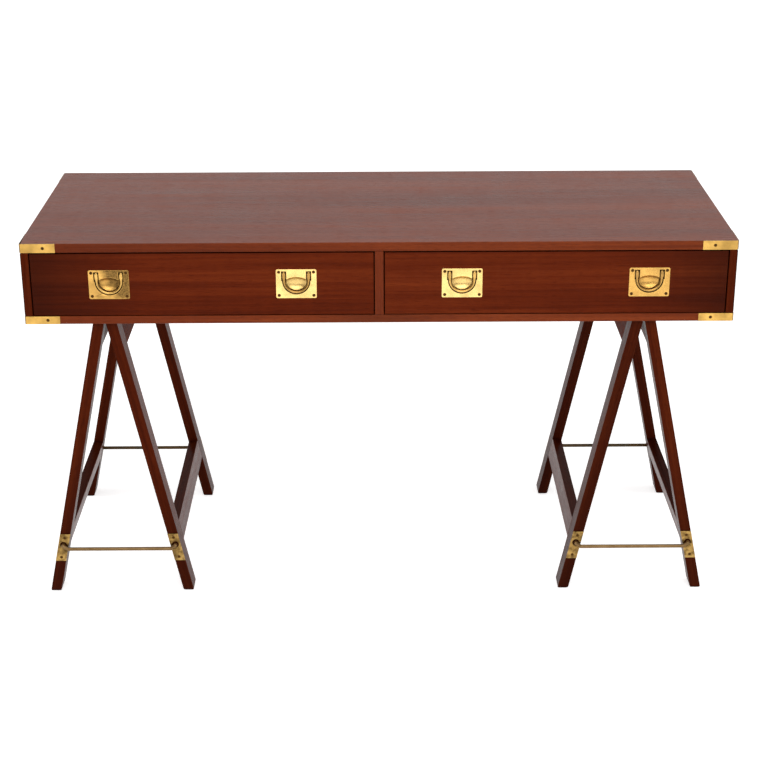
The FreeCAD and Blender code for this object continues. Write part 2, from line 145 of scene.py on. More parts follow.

# Brass goes brown in its hollows, most of all on their steep faces, as patina and as painted shade in the pulls'
# cups. It is darkened in its corners by dirt and painted shade, and its edges are brightened as rubbed wear and
# painted highlight.
HOLLOW_REACH = 0.015
HOLLOW_RANGE = (0.95, 0.55)
STEEP_RANGE = (0.98, 0.82)
STEEP_LEVELS = (0.40, 1.6)
# Darkening near other surfaces, dirt and painted shade: its reach, on the stay plates too, its range and its
# strength.
DIRT_AND_SHADE_REACH = 0.004
STAY_DIRT_AND_SHADE_REACH = 0.007
DIRT_AND_SHADE_RANGE = (0.85, 0.40)
DIRT_AND_SHADE_SHARE = 0.85
# Edges brightened as rubbed wear and painted highlight: how far, and how strongly.
BRIGHT_REACH = 0.003
RIM_SHARE = 0.3
STAINED_RIM_SHARE = 0.85
BRASS_ROUGH_SHARES = {
    "cloud": 0.08,
    "spots": 0.08,
    "scratches": 0.08,
    "stain": 0.2,
    "dirt_and_shade": 0.25,
    "hollow": 0.4,
}
BRASS_RELIEF = 0.0002
BRASS_RELIEF_SHARE = 0.06

# The left pull's stain: how it leans, how ragged its edge is and how far it starts from the pull's middle, in
# metres, and how strong it is.
STAIN_TILT = 0.7
STAIN_EDGE = 0.010
STAIN_SHIFT = 0.006
STAIN_SHARE = 0.95

# Wood colours, linear, from the darkest to the palest. A level lightens or darkens the wood, and a low index
# gives it a thin lacquer.
MAHOGANY = ((0.048, 0.0048, 0.0008), (0.122, 0.0152, 0.0025), (0.220, 0.0360, 0.0075))
MAHOGANY_WORN = (0.27, 0.070, 0.022, 1)
# Painted shade: the dark colour of the end boards' edges and rounded corners.
MAHOGANY_SHADED_EDGE = (0.020, 0.004, 0.001, 1)
BOARDS = ((0.066, 0.0080, 0.0010), (0.165, 0.0255, 0.0040), (0.285, 0.0540, 0.0110))
LINING = ((0.150, 0.070, 0.030), (0.260, 0.130, 0.058), (0.360, 0.200, 0.098))
LINING_WORN = (0.40, 0.24, 0.13, 1)
PLAIN_LEVEL = 1.0
BOTTOM_LEVEL = 1.06
FRONT_LEVEL = 1.0
END_LEVEL = 0.62
# Painted shade: the level of the end boards' rounded corners.
CORNER_SHADE_LEVEL = 0.30
DIVIDER_LEVEL = 1.05
RAIL_LEVEL = 0.80
STRETCHER_LEVEL = 0.60
# Painted shade: the level of the stretchers' upper faces, under the case.
LEDGE_SHADE_LEVEL = 0.30
LEG_LEVELS = {"left_outer": 0.60, "left_inner": 0.66, "right_outer": 0.57, "right_inner": 0.43}
BOARD_IOR = 1.2
FRONT_IOR = 1.12
END_IOR = 1.09
TRESTLE_IOR = 1.10
RAIL_IOR = 1.03
STRETCHER_IOR = 1.17
LEDGE_IOR = 1.06
LINING_IOR = 1.12

# Where the wood is drawn darker, the fronts towards their ends, the legs towards their feet and the bottom board
# towards its middle: along which axis, between which distances in metres, and to what level.
DARK_ENDS = ("X", 0.46, 0.67, 0.44)
DARK_FEET = ("Z", 0.32, 0.02, 0.66)
DARK_MIDDLE = ("X", 0.17, 0.04, 0.66)

# Brass colours, linear. Each finish has its clean colour, how much of it is tarnished, and how rough it is.
BRASS_TARNISH = (0.20, 0.105, 0.030, 1)
BRASS_STAIN = (0.075, 0.040, 0.014, 1)
BRASS_DIRT_AND_SHADE = (0.030, 0.015, 0.005, 1)
BRASS_WARM = (0.66, 0.375, 0.098, 1)
BRASS_FINISHES = {
    "bright": ((0.86, 0.60, 0.215, 1), 0.10, 0.16),
    "warm": (BRASS_WARM, 0.15, 0.18),
    "stained": (BRASS_WARM, 0.30, 0.20),
    "aged": ((0.64, 0.38, 0.094, 1), 0.30, 0.24),
    "bails": ((0.66, 0.40, 0.115, 1), 0.15, 0.18),
    "brown_bails": ((0.44, 0.25, 0.070, 1), 0.15, 0.18),
    "stays": ((0.42, 0.26, 0.078, 1), 0.90, 0.26),
    # This finish is plain dull brass on the hinge leaves and the front stay rods, and painted shade on the straps'
    # rounded corners and side arms.
    "dull_and_shaded": ((0.21, 0.13, 0.058, 1), 0.40, 0.30),
    # Painted shade: this dark finish draws the rear stay rods darker than the front ones, though they are the same
    # brass.
    "dark": ((0.055, 0.042, 0.026, 1), 0.50, 0.35),
    "screws": ((0.08, 0.036, 0.011, 1), 0.50, 0.35),
}

# The studio, in metres and watts. The floor lies a little below the feet and glows by two strengths, near the
# object and far from it. The surround lights the object by the ambient strength. Each lamp has a name, a
# place, a size, a power, and whether brass mirrors it.
FLOOR_HALF = 9.0
FLOOR_DROP = 0.0003
FLOOR_COLOUR = (0.86, 0.86, 0.86, 1)
FLOOR_NEAR = 0.8
FLOOR_FAR = 4.0
GLOW_NEAR = 0.65
GLOW_FAR = 0.88
AMBIENT = 0.38
WHITE = (1, 1, 1, 1)
AIM = Vector((0, 0, 0.5))
LAMPS = (
    ("key", Vector((0.1, -2.6, 2.5)), 3.2, 63, True),
    ("fill", Vector((1.9, -2.4, 1.6)), 1.6, 5, True),
    ("overhead", Vector((0.2, 0.6, 3.4)), 3.0, 9, True),
    ("left_side", Vector((-3.6, -0.1, 0.6)), 1.6, 55, False),
    ("right_side", Vector((3.6, -0.1, 0.6)), 1.6, 55, False),
)

# Three dark cards that only the brass and the lacquer mirror, in metres: one in front of the object and one
# on each side of it.
CARD_HALF = 4.0
CARD_FRONT = -4.6
CARD_SIDE = 3.2
CARD_NEAR = -0.8
CARD_LOW = 0.55
CARD_HIGH = 3.0
CARD_COLOUR = (0.05, 0.045, 0.04, 1)

# The sockets of a mix node for its factor, its two colours and the colour that it gives.
MIX_FACTOR = 0
MIX_FIRST = 6
MIX_SECOND = 7
MIX_RESULT = 2


def add(tree, kind, inputs=None, **settings):
    """Add a shader node, with its settings, and set or link its inputs."""
    made = tree.nodes.new("ShaderNode" + kind)
    for key, value in settings.items():
        setattr(made, key, value)
    for key, value in (inputs or {}).items():
        if isinstance(value, bpy.types.NodeSocket):
            tree.links.new(value, made.inputs[key])
        else:
            made.inputs[key].default_value = value
    return made


def calculate(tree, operation, first, second):
    """A sum, product or other result of two values."""
    return add(tree, "Math", {0: first, 1: second}, operation=operation).outputs["Value"]


def unsigned(tree, value):
    """A value without its sign."""
    return add(tree, "Math", {0: value}, operation="ABSOLUTE").outputs["Value"]


def noise(tree, place, scale, detail=PLAIN_DETAIL):
    """Noise stretched by a scale along each axis."""
    stretched = add(tree, "Mapping", {"Vector": place, "Scale": scale}).outputs["Vector"]
    return add(tree, "TexNoise", {"Vector": stretched, "Scale": 1.0, "Detail": detail}).outputs["Fac"]


def spread(tree, value, low, high, to_low=0.0, to_high=1.0):
    """A value's range mapped to another, and held inside it."""
    limits = {"Value": value, "From Min": low, "From Max": high, "To Min": to_low, "To Max": to_high}
    return add(tree, "MapRange", limits).outputs["Result"]


def weighted(tree, layers, shares):
    """The sum of some layers, each times its share."""
    total = None
    for layer, share in shares.items():
        term = calculate(tree, "MULTIPLY", layers[layer], share)
        total = term if total is None else calculate(tree, "ADD", total, term)
    return total


def blend(tree, factor, first, second):
    """Two colours mixed by a factor."""
    inputs = {MIX_FACTOR: factor, MIX_FIRST: first, MIX_SECOND: second}
    return add(tree, "Mix", inputs, data_type="RGBA").outputs[MIX_RESULT]


def ramp(tree, factor, colours):
    """A colour from a row of evenly spaced ones."""
    made = add(tree, "ValToRGB", {"Fac": factor})
    stops = made.color_ramp.elements
    last = len(colours) - 1
    for count in range(1, last):
        stops.new(count / last)
    for stop, colour in zip(stops, colours):
        stop.color = (*colour, 1)
    return made.outputs["Color"]


def near_edges(tree, reach):
    """How near a surface is to an edge, from 0 to 1."""
    rounded = add(tree, "Bevel", {"Radius": reach}, samples=EDGE_SAMPLES).outputs["Normal"]
    facing = add(tree, "NewGeometry").outputs["Normal"]
    same = add(tree, "VectorMath", {0: rounded, 1: facing}, operation="DOT_PRODUCT").outputs["Value"]
    return spread(tree, same, *EDGE_RANGE)


def openness(tree, reach):
    """How free a surface is of others within a reach, from 0 to 1."""
    return add(tree, "AmbientOcclusion", {"Distance": reach}, samples=CORNER_SAMPLES).outputs["AO"]


def new_material(name):
    """An empty material with its output."""
    material = bpy.data.materials.new(name)
    material.use_nodes = True
    material.node_tree.nodes.clear()
    return material, material.node_tree, add(material.node_tree, "OutputMaterial")


def grain_place(tree, place, turn, board):
    """Places along and across the grain, which wanders a little and is shifted on each board."""
    turned = add(tree, "Mapping", {"Vector": place, "Rotation": turn}).outputs["Vector"]
    shift = add(tree, "VectorMath", {0: BOARD_SHIFT, "Scale": board}, operation="SCALE").outputs["Vector"]
    moved = add(tree, "VectorMath", {0: turned, 1: shift}, operation="ADD").outputs["Vector"]
    wander = spread(tree, noise(tree, moved, WANDER_SCALE), 0.0, 1.0, -WANDER, WANDER)
    sway = add(tree, "CombineXYZ", {"Y": wander, "Z": wander}).outputs["Vector"]
    return add(tree, "VectorMath", {0: moved, 1: sway}, operation="ADD").outputs["Vector"]


def wood_figure(tree, grain):
    """The layers of straight-grained wood."""
    return {
        "bands": spread(tree, noise(tree, grain, BAND_SCALE, BAND_DETAIL), *BAND_RANGE),
        "streaks": spread(tree, noise(tree, grain, STREAK_SCALE, STREAK_DETAIL), *BAND_RANGE),
        "fibres": noise(tree, grain, FIBRE_SCALE),
        "mottle": noise(tree, grain, MOTTLE_SCALE),
        "pores": spread(tree, noise(tree, grain, PORE_SCALE, PORE_DETAIL), *PORE_RANGE),
    }


def wood(name, turn, colours, edge_colour, roughness, index, level=PLAIN_LEVEL, darkened=None):
    """Straight-grained wood with dark pores, a colour at its edges that is wear on most boards and dark painted
    shade on the end boards, and painted shade near its corners and gaps.
    """
    material, tree, output = new_material(name)
    colours = [tuple(level * part for part in colour) for colour in colours]
    darkest = (*colours[0], 1)
    place = add(tree, "TexCoord").outputs["Object"]
    board = add(tree, "ObjectInfo").outputs["Random"]
    figure = wood_figure(tree, grain_place(tree, place, turn, board))

    value = spread(tree, board, 0.0, 1.0, *BOARD_LEVELS)
    if darkened:
        axis, start, end, dark_level = darkened
        along = add(tree, "SeparateXYZ", {"Vector": place}).outputs[axis]
        fading = spread(tree, unsigned(tree, along), start, end, 1.0, dark_level)
        value = calculate(tree, "MULTIPLY", value, fading)
    colour = ramp(tree, weighted(tree, figure, TONE_SHARES), colours)
    colour = add(tree, "HueSaturation", {"Value": value, "Color": colour}).outputs["Color"]
    colour = blend(tree, calculate(tree, "MULTIPLY", figure["pores"], DARK_PORE_SHARE), colour, darkest)
    edge_tone_bands = spread(tree, figure["bands"], *EDGE_TONE_BAND_RANGE, *EDGE_TONE_SHARES)
    # The edge colour is lighter wear on most boards, and dark painted shade on the end boards.
    edge_tone = calculate(tree, "MULTIPLY", near_edges(tree, EDGE_TONE_REACH), edge_tone_bands)
    colour = blend(tree, edge_tone, colour, edge_colour)
    # Painted shade: the wood darkens towards its darkest colour where other surfaces lie near, in corners and
    # gaps.
    corner_shade = spread(tree, openness(tree, CORNER_SHADE_REACH), *CORNER_SHADE_RANGE, 0.0, CORNER_SHADE_SHARE)
    colour = blend(tree, corner_shade, colour, darkest)

    relief = weighted(tree, figure, RELIEF_SHARES)
    bump = add(tree, "Bump", {"Height": relief, "Strength": WOOD_RELIEF_SHARE, "Distance": WOOD_RELIEF})
    shader = add(tree, "BsdfPrincipled", {
        "Base Color": colour,
        "Roughness": calculate(tree, "ADD", weighted(tree, figure, WOOD_ROUGH_SHARES), roughness),
        "IOR": index,
        "Normal": bump.outputs["Normal"],
    })
    tree.links.new(shader.outputs["BSDF"], output.inputs["Surface"])
    return material


def stain_from(tree, place, start, cloud):
    """A brown stain on one side of a leaning, ragged line."""
    offset = add(tree, "VectorMath", {0: place, 1: start}, operation="SUBTRACT").outputs["Vector"]
    parts = add(tree, "SeparateXYZ", {"Vector": offset}).outputs
    slope = calculate(tree, "ADD", parts["X"], calculate(tree, "MULTIPLY", parts["Z"], STAIN_TILT))
    ragged = calculate(tree, "ADD", slope, spread(tree, cloud, 0.0, 1.0, -STAIN_EDGE, STAIN_EDGE))
    return spread(tree, ragged, -STAIN_EDGE, STAIN_EDGE, 0.0, STAIN_SHARE)


def steepness(tree):
    """How far a surface leans away from facing the front or the back."""
    facing = add(tree, "NewGeometry").outputs["Normal"]
    level_share = unsigned(tree, add(tree, "SeparateXYZ", {"Vector": facing}).outputs["Y"])
    return spread(tree, level_share, *STEEP_RANGE, *STEEP_LEVELS)


def brass(use, brown_colour=BRASS_TARNISH, patch_scale=PATCH_SCALE, rim_share=RIM_SHARE, stain_start=None,
          dirt_and_shade_reach=DIRT_AND_SHADE_REACH):
    """Brass that has gone brown in patches and hollows, or from one place on, darkened in its creases by dirt and
    painted shade, with edges brightened as rubbed wear and painted highlight.
    """
    clean, tarnish, roughness = BRASS_FINISHES[use]
    material, tree, output = new_material(f"brass_{use}")
    place = add(tree, "TexCoord").outputs["Object"]
    layers = {
        "cloud": spread(tree, noise(tree, place, patch_scale, PATCH_DETAIL), *PATCH_RANGE),
        "spots": spread(tree, noise(tree, place, SPOT_SCALE, PATCH_DETAIL), *SPOT_RANGE),
        "scratches": noise(tree, place, SCRATCH_SCALE, SCRATCH_DETAIL),
        "hollow": spread(tree, openness(tree, HOLLOW_REACH), *HOLLOW_RANGE),
        "dirt_and_shade": spread(tree, openness(tree, dirt_and_shade_reach), *DIRT_AND_SHADE_RANGE),
    }
    brown = calculate(tree, "MULTIPLY", layers["cloud"], tarnish)
    if stain_start is not None:
        brown = calculate(tree, "MAXIMUM", brown, stain_from(tree, place, stain_start, layers["cloud"]))
    # Brown in the hollows, stronger on their steep faces: patina, and painted shade in the pulls' cups.
    hollow_patina_and_shade = calculate(tree, "MULTIPLY", layers["hollow"], steepness(tree))
    brown = calculate(tree, "MAXIMUM", brown, hollow_patina_and_shade)
    spotted = spread(tree, layers["spots"], 0.0, 1.0, *SPOT_SHARES)
    layers["stain"] = calculate(tree, "MULTIPLY", spotted, brown)

    level = spread(tree, layers["cloud"], 0.0, 1.0, *PATCH_LEVELS)
    colour = add(tree, "HueSaturation", {"Value": level, "Color": clean}).outputs["Color"]
    colour = blend(tree, layers["stain"], colour, brown_colour)
    # Darkened near other surfaces, in creases and grooves: dirt and painted shade.
    colour = blend(tree, calculate(tree, "MULTIPLY", layers["dirt_and_shade"], DIRT_AND_SHADE_SHARE), colour, BRASS_DIRT_AND_SHADE)
    # Edges are brightened towards the clean colour: rubbed wear and painted highlight.
    bright = calculate(tree, "MULTIPLY", near_edges(tree, BRIGHT_REACH), rim_share)
    colour = blend(tree, bright, colour, clean)

    relief = {"Height": layers["scratches"], "Strength": BRASS_RELIEF_SHARE, "Distance": BRASS_RELIEF}
    shader = add(tree, "BsdfPrincipled", {
        "Base Color": colour,
        "Metallic": 1.0,
        "Roughness": calculate(tree, "ADD", weighted(tree, layers, BRASS_ROUGH_SHARES), roughness),
        "Normal": add(tree, "Bump", relief).outputs["Normal"],
    })
    tree.links.new(shader.outputs["BSDF"], output.inputs["Surface"])
    return material


def islands(mesh):
    """The separate solids of a mesh, as lists of vertices, in the order of their first vertices."""
    seen, found = set(), []
    for start in mesh.verts:
        if start in seen:
            continue
        seen.add(start)
        waiting = [start]
        members = []
        while waiting:
            vert = waiting.pop()
            members.append(vert)
            for edge in vert.link_edges:
                other = edge.other_vert(vert)
                if other not in seen:
                    seen.add(other)
                    waiting.append(other)
        found.append(members)
    return found


def outer_edges(members):
    """The sharp edges of a solid where both faces lie on its outside."""
    points = np.array([vert.co for vert in members])
    edges = {edge for vert in members for edge in vert.link_edges}
    outside = {}
    for face in {face for edge in edges for face in edge.link_faces}:
        reach = (points - np.array(face.verts[0].co)) @ np.array(face.normal)
        outside[face] = reach.max() < WELD
    return [edge for edge in sorted(edges, key=lambda edge: edge.index)
            if len(edge.link_faces) == 2 and all(outside[face] for face in edge.link_faces)
            and edge.calc_face_angle() > math.radians(SHARP_ANGLE)]


def welded(node):
    """A node's mesh with its seams closed and its flat faces joined."""
    mesh = bmesh.new()
    mesh.from_mesh(nodes[node].data)
    bmesh.ops.remove_doubles(mesh, verts=mesh.verts, dist=WELD)
    bmesh.ops.dissolve_limit(mesh, angle_limit=math.radians(FLAT_ANGLE), verts=mesh.verts, edges=mesh.edges)
    mesh.edges.index_update()
    mesh.normal_update()
    return mesh


def finish_piece(mesh, name, node, materials):
    """Turn a mesh into a piece that stands for a node and rides on its body."""
    data = bpy.data.meshes.new(name)
    mesh.to_mesh(data)
    mesh.free()
    data.shade_smooth()
    data.set_sharp_from_angle(angle=math.radians(SHARP_ANGLE))
    for material in materials:
        data.materials.append(material)
    piece = bpy.data.objects.new(name, data)
    bpy.context.scene.collection.objects.link(piece)
    normals = piece.modifiers.new("even_shading", "WEIGHTED_NORMAL")
    normals.keep_sharp = True
    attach(piece, body_of_node[node])
    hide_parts(node)
    return piece


def at_floor(mesh):
    """A test for edges that stand on the floor."""
    return lambda point: abs(point.z) < WELD


def at_corner(mesh):
    """A test for edges at a piece's corners, furthest from the desk's middle."""
    far_x = max(abs(vert.co.x) for vert in mesh.verts)
    far_y = max(abs(vert.co.y) for vert in mesh.verts)
    return lambda point: far_x - abs(point.x) < WELD and far_y - abs(point.y) < WELD


def round_over(mesh, width, test=None):
    """Round the outer edges of every solid, or only those with both ends where a test holds."""
    edges = [edge for members in islands(mesh) for edge in outer_edges(members)]
    if test:
        edges = [edge for edge in edges if all(test(vert.co) for vert in edge.verts)]
    bmesh.ops.bevel(mesh, geom=edges, offset=width, offset_type="OFFSET", segments=EASE_STEPS,
                    profile=ROUND_SHARE, affect="EDGES", clamp_overlap=True, material=-1)
    mesh.edges.index_update()
    mesh.normal_update()


def eased(node, width, slot, *materials, where=None, wide=0.0):
    """A node with its outer edges rounded, some of them wider, in one finish or one for each solid."""
    mesh = welded(node)
    if len(materials) > 1:
        solids = sorted(islands(mesh), key=lambda members: min(vert.co.x for vert in members))
        for count, members in enumerate(solids):
            for vert in members:
                for face in vert.link_faces:
                    face.material_index = count
    if where:
        round_over(mesh, wide, where(mesh))
    round_over(mesh, width)
    return finish_piece(mesh, node + "_eased", node, materials)


def turn_corners(piece, material, side_arms=False):
    """Give a darker finish to a piece's rounded corners, and to its side arms where it has them, as painted shade.
    """
    piece.data.materials.append(material)
    far_x = max(abs(vert.co.x) for vert in piece.data.vertices)
    far_y = max(abs(vert.co.y) for vert in piece.data.vertices)
    for face in piece.data.polygons:
        rounded = far_x - abs(face.center.x) < CORNER_EASE and far_y - abs(face.center.y) < CORNER_EASE
        behind = side_arms and far_y - abs(face.center.y) > CORNER_EASE / 2
        if behind or rounded and abs(face.normal.y) < FACING_SHARE:
            face.material_index = 1


def turn_tops(piece, material):
    """Give a darker finish to a piece's upper faces, as painted shade."""
    piece.data.materials.append(material)
    for face in piece.data.polygons:
        if face.normal.z > FACING_SHARE:
            face.material_index = 1


def ring(mesh, matrix, radius, depth, angles):
    """Vertices round an axis at a depth below its start."""
    places = [Vector((radius * math.cos(angle), radius * math.sin(angle), -depth)) for angle in angles]
    return [mesh.verts.new(matrix @ place) for place in places]


def join_rings(mesh, upper, lower):
    """Faces between two rings of as many vertices."""
    for count in range(len(upper)):
        after = (count + 1) % len(upper)
        mesh.faces.new((upper[count], lower[count], lower[after], upper[after]))


def slotted_screw(mesh, matrix, length):
    """A countersunk screw with a straight slot, its head's face at the start of its axis."""
    reach = math.acos(SLOT_HALF_WIDTH / HEAD_RADIUS)
    arc_steps = ROUND_SIDES // 2
    gap_width = math.pi - 2 * reach
    floor_radius = HEAD_RADIUS + (SHANK_RADIUS - HEAD_RADIUS) * SLOT_DEPTH / HEAD_DEPTH
    rims, slots, angles = [], [], []

    # Each half of the head has a face and one wall of the slot.
    for middle in (0.0, math.pi):
        arc = [middle - reach + 2 * reach * step / arc_steps for step in range(arc_steps + 1)]
        gap = [middle + reach + gap_width * step / SLOT_STEPS for step in range(1, SLOT_STEPS)]
        rim = ring(mesh, matrix, HEAD_RADIUS, 0.0, arc)
        ends = ring(mesh, matrix, floor_radius, SLOT_DEPTH, (arc[0], arc[-1]))
        between = ring(mesh, matrix, floor_radius, SLOT_DEPTH, gap)
        rims.append(rim)
        slots.append((ends, between))
        angles += [*arc, *gap]
        mesh.faces.new(rim)
        mesh.faces.new((rim[0], ends[0], ends[1], rim[-1]))
    mesh.faces.new([vert for ends, between in slots for vert in (*ends, *between)])

    # The cone under the head starts at the rim, and at the ends of the slot it starts at the slot's floor.
    low = ring(mesh, matrix, SHANK_RADIUS, HEAD_DEPTH, angles)
    start = 0
    for count, rim in enumerate(rims):
        ends, between = slots[count]
        next_ends = slots[1 - count][0]
        for step in range(arc_steps):
            face = [rim[step], low[start + step], low[start + step + 1], rim[step + 1]]
            if step == 0:
                face.insert(1, ends[0])
            if step == arc_steps - 1:
                face.insert(len(face) - 1, ends[1])
            mesh.faces.new(face)
        chain = [ends[1], *between, next_ends[0]]
        for step in range(SLOT_STEPS):
            below = start + arc_steps + step
            mesh.faces.new((chain[step], low[below], low[(below + 1) % len(low)], chain[step + 1]))
        start += arc_steps + SLOT_STEPS

    tip = ring(mesh, matrix, SHANK_RADIUS, length - SCREW_SINK, angles)
    join_rings(mesh, low, tip)
    mesh.faces.new(tip)


def pin(mesh, matrix, radius, length):
    """A plain round pin with chamfered ends."""
    angles = [2 * math.pi * step / ROUND_SIDES for step in range(ROUND_SIDES)]
    chamfer = radius * PIN_CHAMFER_SHARE
    end_radius = radius - chamfer
    profile = ((end_radius, 0.0), (radius, chamfer), (radius, length - chamfer), (end_radius, length))
    rings = [ring(mesh, matrix, size, depth, angles) for size, depth in profile]
    for upper, lower in zip(rings, rings[1:]):
        join_rings(mesh, upper, lower)
    mesh.faces.new(rings[0])
    mesh.faces.new(rings[-1])


def axis_of(points):
    """A screw's or pin's start at its head, its outward direction, its length and its largest radius."""
    middle = points.mean(0)
    direction = np.linalg.svd(points - middle)[2][0]
    along = (points - middle) @ direction
    across = np.linalg.norm((points - middle) - np.outer(along, direction), axis=1)
    centre = middle + direction * (along.max() + along.min()) / 2
    half = (along.max() - along.min()) / 2
    if across[along > 0].max() < across[along < 0].max():
        direction = -direction
    return Vector(centre + direction * half), Vector(direction), 2 * half, float(across.max())


def fasteners(node, material):
    """Slotted screws and hinge pins in place of a node's plain ones."""
    plain = welded(node)
    mesh = bmesh.new()
    for count, members in enumerate(islands(plain)):
        start, outward, length, radius = axis_of(np.array([vert.co for vert in members]))
        turn = Matrix.Rotation(math.radians(SLOT_TURN) * count, 4, "Z")
        facing = outward.to_track_quat("Z", "Y").to_matrix().to_4x4()
        if length > LONGEST_SCREW:
            pin(mesh, Matrix.Translation(start) @ facing, radius, length)
        else:
            slotted_screw(mesh, Matrix.Translation(start - outward * SCREW_SINK) @ facing @ turn, length)
    plain.free()
    bmesh.ops.recalc_face_normals(mesh, faces=mesh.faces)
    return finish_piece(mesh, node + "_detailed", node, [material])


def grain_turns():
    """How the grain is turned on pieces that lie along, across or upright, and on the splayed legs."""
    quarter = math.radians(90)
    turns = {"along": (0, 0, 0), "across": (0, 0, -quarter), "upright": (0, quarter, 0)}
    for side, outward in (("left", -1), ("right", 1)):
        splay = math.radians(joints[f"{side}_trestle_fold"]["range_deg"][1]) / 2
        turns[f"{side}_outer"] = (0, quarter + outward * splay, 0)
        turns[f"{side}_inner"] = (0, quarter - outward * splay, 0)
    return turns


def dress_wood():
    """Give every wooden piece its finish, with the grain along the piece."""
    turns = grain_turns()

    def board(use, way, level=PLAIN_LEVEL, darkened=None):
        name = f"mahogany_{use}"
        return wood(name, turns[way], BOARDS, MAHOGANY_WORN, POLISHED_ROUGHNESS, BOARD_IOR, level, darkened)

    def polished(use, way, index, level, edge_colour=MAHOGANY_WORN, darkened=None):
        name = f"mahogany_{use}_{way}"
        return wood(name, turns[way], MAHOGANY, edge_colour, POLISHED_ROUGHNESS, index, level, darkened)

    def waxed(way):
        return wood(f"lining_{way}", turns[way], LINING, LINING_WORN, WAXED_ROUGHNESS, LINING_IOR)

    boards = board("boards", "along")
    for node in ("top_board", "back_panel"):
        eased(node, WOOD_EASE, "mahogany", boards)
    eased("bottom_board", WOOD_EASE, "mahogany", board("bottom", "along", BOTTOM_LEVEL, DARK_MIDDLE))
    eased("centre_divider", WOOD_EASE, "mahogany", board("divider", "upright", DIVIDER_LEVEL))
    fronts = polished("front", "along", FRONT_IOR, FRONT_LEVEL, darkened=DARK_ENDS)
    # The end boards and their rounded corners have dark edges, painted shade.
    ends = polished("end", "upright", END_IOR, END_LEVEL, edge_colour=MAHOGANY_SHADED_EDGE)
    corners = polished("corner", "upright", END_IOR, CORNER_SHADE_LEVEL, edge_colour=MAHOGANY_SHADED_EDGE)
    rails = polished("rail", "across", RAIL_IOR, RAIL_LEVEL)
    stretchers = polished("stretcher", "across", STRETCHER_IOR, STRETCHER_LEVEL)
    shaded_ledges = polished("ledge", "across", LEDGE_IOR, LEDGE_SHADE_LEVEL)
    lengthways, crossways = waxed("along"), waxed("across")
    for side in ("left", "right"):
        eased(f"{side}_drawer_front", WOOD_EASE, "mahogany", fronts)
        end_board = eased(f"{side}_end", WOOD_EASE, "mahogany", ends, where=at_corner, wide=CORNER_EASE)
        # The end boards' rounded corners are darkened as painted shade.
        turn_corners(end_board, corners)
        for place in ("outer", "inner"):
            way = f"{side}_{place}"
            legs = polished("trestle", way, TRESTLE_IOR, LEG_LEVELS[way], darkened=DARK_FEET)
            for end in ("front", "rear"):
                eased(f"{way}_{end}_leg", WOOD_EASE, "mahogany", legs, where=at_floor, wide=FOOT_EASE)
            eased(f"{way}_top_rail", WOOD_EASE, "mahogany", rails)
            stretcher = eased(f"{way}_stretcher", WOOD_EASE, "mahogany", stretchers)
            # The stretchers' upper faces are darkened as painted shade.
            turn_tops(stretcher, shaded_ledges)
        for wall in ("left_side", "right_side"):
            eased(f"{side}_drawer_{wall}", LINING_EASE, "drawer_lining", crossways)
        for wall in ("back", "bottom"):
            eased(f"{side}_drawer_{wall}", LINING_EASE, "drawer_lining", lengthways)
    eased("drawer_stops", LINING_EASE, "drawer_lining", lengthways)


def middle_of(node):
    """The middle of a node's box."""
    corners = [Vector(corner) for corner in nodes[node].bound_box]
    return sum(corners, Vector()) / len(corners)


def dress_brass():
    """Give every brass piece its finish."""
    bright, warm, aged, dull_and_shaded, dark = (brass(use) for use in ("bright", "warm", "aged", "dull_and_shaded", "dark"))
    bails = {"left": brass("bails"), "right": brass("brown_bails")}
    grimy = brass("screws", rim_share=0.0)
    stays = brass("stays", BRASS_STAIN, SMALL_PATCH_SCALE, dirt_and_shade_reach=STAY_DIRT_AND_SHADE_REACH)
    stain_start = middle_of("left_drawer_left_bail") - Vector((STAIN_SHIFT, 0, 0))
    stained = brass("stained", BRASS_STAIN, rim_share=STAINED_RIM_SHARE, stain_start=stain_start)
    straps = eased("corner_straps", BRASS_EASE, "brass", aged, where=at_corner, wide=CORNER_EASE)
    # The straps' rounded corners and side arms take the darker dull brass, as painted shade.
    turn_corners(straps, dull_and_shaded, side_arms=True)
    fasteners("strap_screws", grimy)
    for side, plates in (("left", (stained, bright)), ("right", (bright, warm))):
        eased(f"{side}_drawer_pull_plates", BRASS_EASE, "brass", *plates)
        fasteners(f"{side}_drawer_pull_screws", grimy)
        for which in ("left", "right"):
            nodes[f"{side}_drawer_{which}_bail"].data.materials[0] = bails[which]
        for place in ("outer", "inner"):
            eased(f"{side}_{place}_hinge_leaves", BRASS_EASE, "brass", dull_and_shaded)
            eased(f"{side}_{place}_stay_plates", BRASS_EASE, "brass", stays)
            fasteners(f"{side}_{place}_fasteners", grimy)
        # The rear stay rods are drawn darker than the front ones, as painted shade.
        for end, finish in (("front", dull_and_shaded), ("rear", dark)):
            nodes[f"{side}_{end}_stay_rod"].data.materials[0] = finish


def seen_directly(tree):
    """1 for what the camera sees, also in metal or through glass, and 0 for what only lights the object."""
    path = add(tree, "LightPath")
    direct = calculate(tree, "MAXIMUM", path.outputs["Is Camera Ray"], path.outputs["Is Glossy Ray"])
    return calculate(tree, "MAXIMUM", direct, path.outputs["Is Transmission Ray"])


def stage_sheet(name, corners, material):
    """A flat four-cornered sheet that belongs to the studio."""
    data = bpy.data.meshes.new(name)
    data.from_pydata(corners, [], [(0, 1, 2, 3)])
    data.materials.append(material)
    sheet = bpy.data.objects.new(name, data)
    bpy.context.scene.collection.objects.link(sheet)
    return sheet


